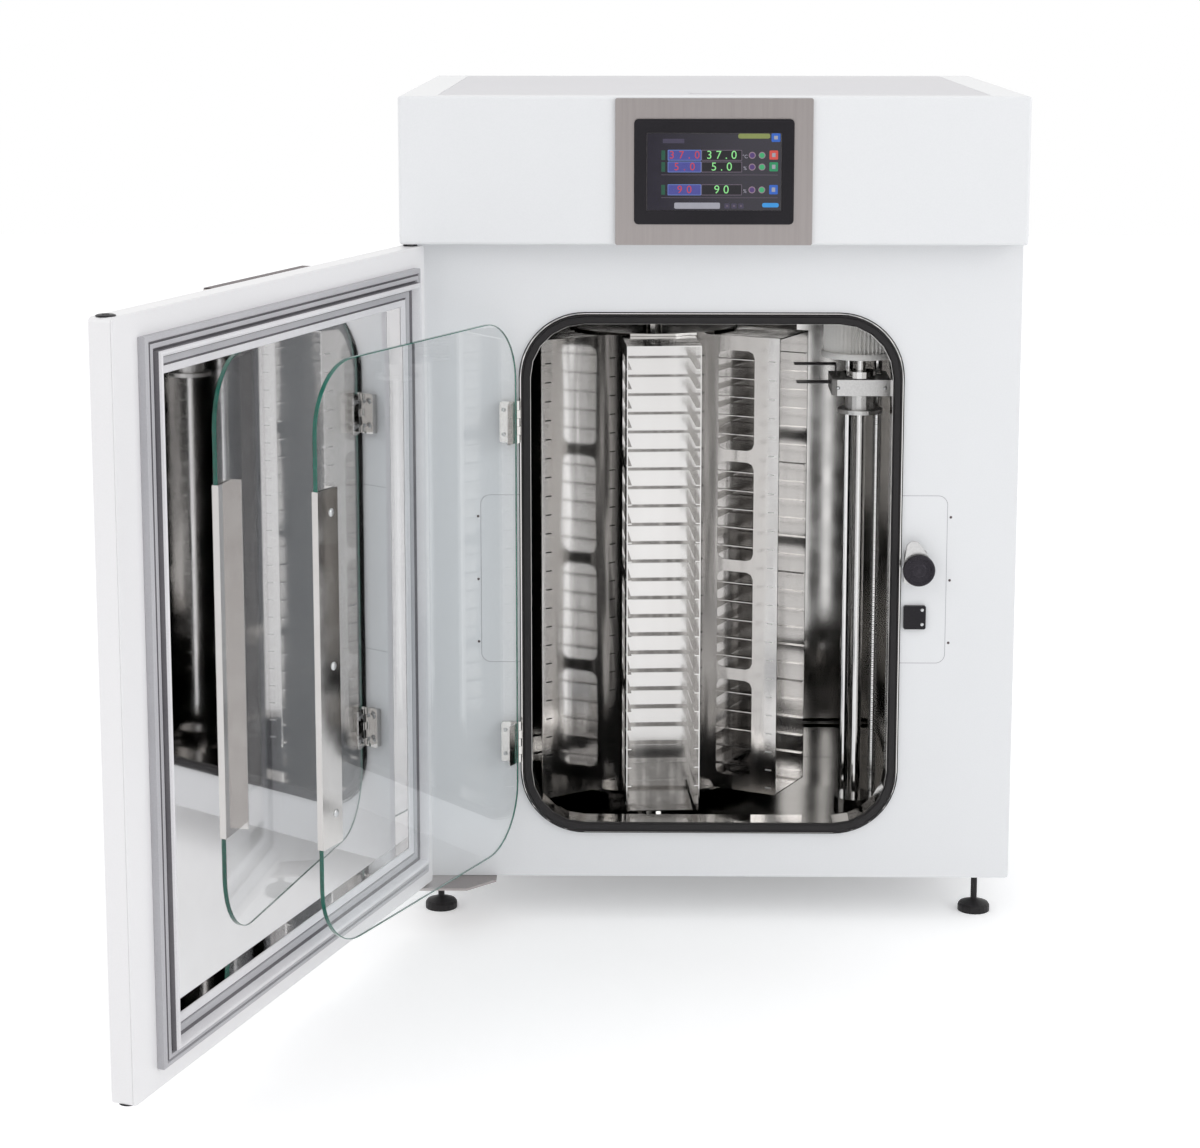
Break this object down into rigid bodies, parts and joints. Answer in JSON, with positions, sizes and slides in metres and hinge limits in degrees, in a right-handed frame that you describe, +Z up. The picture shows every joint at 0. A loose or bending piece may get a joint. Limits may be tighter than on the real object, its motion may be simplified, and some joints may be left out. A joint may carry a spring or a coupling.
{
  "type": "carbon dioxide incubator",
  "caption": "Free-standing carbon dioxide incubator with an insulated outer door, an inner glass door and a turning rack of plate hotels beside a plate lift.",
  "frame": {"origin": "centre of the bounding box's bottom, doors open as at rest, on the floor", "axes": "+Z up, -Y out of the front, +X to the right seen from the front"},
  "size_m": [0.9754, 1.325, 1.0214],
  "materials": {
    "white_enamel": "smooth baked enamel",
    "polished_steel": "mirror-polished stainless steel",
    "brushed_steel": "brushed stainless steel",
    "satin_aluminium": "satin",
    "black_plastic": "satin black",
    "black_rubber": "matt black rubber",
    "grey_seal": "soft grey seal with white lips",
    "ivory_plastic": "matt",
    "foam": "cut foam",
    "clear_glass": "clear with green edges",
    "screen_glass": "glossy black",
    "filter_paper": "pleated filter paper",
    "circuit_board": "lacquered board"
  },
  "bodies": {
    "cabinet": {"access_port_stopper": "grey_seal", "air_filter": "filter_paper", "cabinet_shell": "white_enamel", "carousel_pedestal": "polished_steel", "carousel_top_bearing": "satin_aluminium", "chamber_gasket": "black_rubber", "chamber_liner": "polished_steel", "controller_board": "circuit_board", "display_bezel": "black_plastic", "display_plate": "brushed_steel", "door_switch": "black_plastic", "foot_front_left": "black_plastic", "foot_front_right": "black_plastic", "foot_rear_left": "black_plastic", "foot_rear_right": "black_plastic", "front_panel": "white_enamel", "gas_inlet": "polished_steel", "glass_hinge_mount_lower": "polished_steel", "glass_hinge_mount_upper": "polished_steel", "head_housing": "white_enamel", "head_top_cover": "white_enamel", "hinge_bracket": "satin_aluminium", "insulation": "foam", "latch_base": "satin_aluminium", "lift_mast": "polished_steel", "lift_rear_rod": "polished_steel", "opening_trim": "polished_steel", "power_inlet": "black_plastic", "rear_panel": "white_enamel", "touch_screen": "screen_glass", "upper_hinge_pin": "black_plastic", "water_pan": "polished_steel"},
    "outer_door": {"outer_door_shell": "white_enamel", "outer_door_frame": "white_enamel", "outer_door_panel": "polished_steel", "outer_door_foam": "foam", "outer_door_gasket": "grey_seal", "outer_door_band": "brushed_steel", "upper_hinge_bush": "black_plastic", "lower_hinge_bush": "black_plastic", "door_foot_plate": "ivory_plastic"},
    "glass_door": {"glass_pane": "clear_glass", "glass_handle": "polished_steel", "glass_hinge_leaf_lower": "polished_steel", "glass_hinge_leaf_upper": "polished_steel"},
    "latch": {"latch_cam": "satin_aluminium", "latch_knob": "black_plastic"},
    "carousel": {"carousel_disc": "polished_steel", "carousel_column": "polished_steel", "plate_hotel_1": "polished_steel", "plate_hotel_2": "polished_steel", "plate_hotel_3": "polished_steel", "plate_hotel_4": "polished_steel", "plate_hotel_5": "polished_steel", "plate_hotel_6": "polished_steel"},
    "lift_carriage": {"lift_carriage": "satin_aluminium", "carriage_bushing": "polished_steel", "hold_down_finger": "black_plastic"},
    "transfer_blade": {"transfer_blade": "black_plastic"},
    "lift_screw": {"lift_screw": "polished_steel"}
  },
  "joints": [
    {"name": "outer_door_hinge", "type": "hinge", "parent": "cabinet", "child": "outer_door", "pos_m": [-0.24032, 0.02568, 0.45], "axis": [0, 0, 1], "range_deg": [-5, 109]},
    {"name": "glass_door_hinge", "type": "hinge", "parent": "cabinet", "child": "glass_door", "pos_m": [-0.11582, 0.04638, 0.43], "axis": [0, 0, 1], "range_deg": [-5.5, 115]},
    {"name": "latch_turn", "type": "hinge", "parent": "cabinet", "child": "latch", "pos_m": [0.36868, 0.038, 0.452], "axis": [0, -1, 0], "range_deg": [0, 90]},
    {"name": "carousel_spin", "type": "hinge", "parent": "cabinet", "child": "carousel", "pos_m": [0.04768, 0.31918, 0.12], "axis": [0, 0, 1], "continuous": true},
    {"name": "lift_slide", "type": "slide", "parent": "cabinet", "child": "lift_carriage", "axis": [0, 0, 1], "range_m": [-0.48, 0]},
    {"name": "lift_screw_turn", "type": "hinge", "parent": "cabinet", "child": "lift_screw", "pos_m": [0.32818, 0.18718, 0.4], "axis": [0, 0, 1], "range_deg": [-8650, 10]},
    {"name": "blade_slide", "type": "slide", "parent": "lift_carriage", "child": "transfer_blade", "axis": [1, 0, 0], "range_m": [-0.006, 0.03]}
  ],
  "couplings": [
    {"joint": "glass_door_hinge", "follows": "outer_door_hinge", "ratio": 1.055},
    {"joint": "lift_screw_turn", "follows": "lift_slide", "rad_per_m": 314.16}
  ]
}
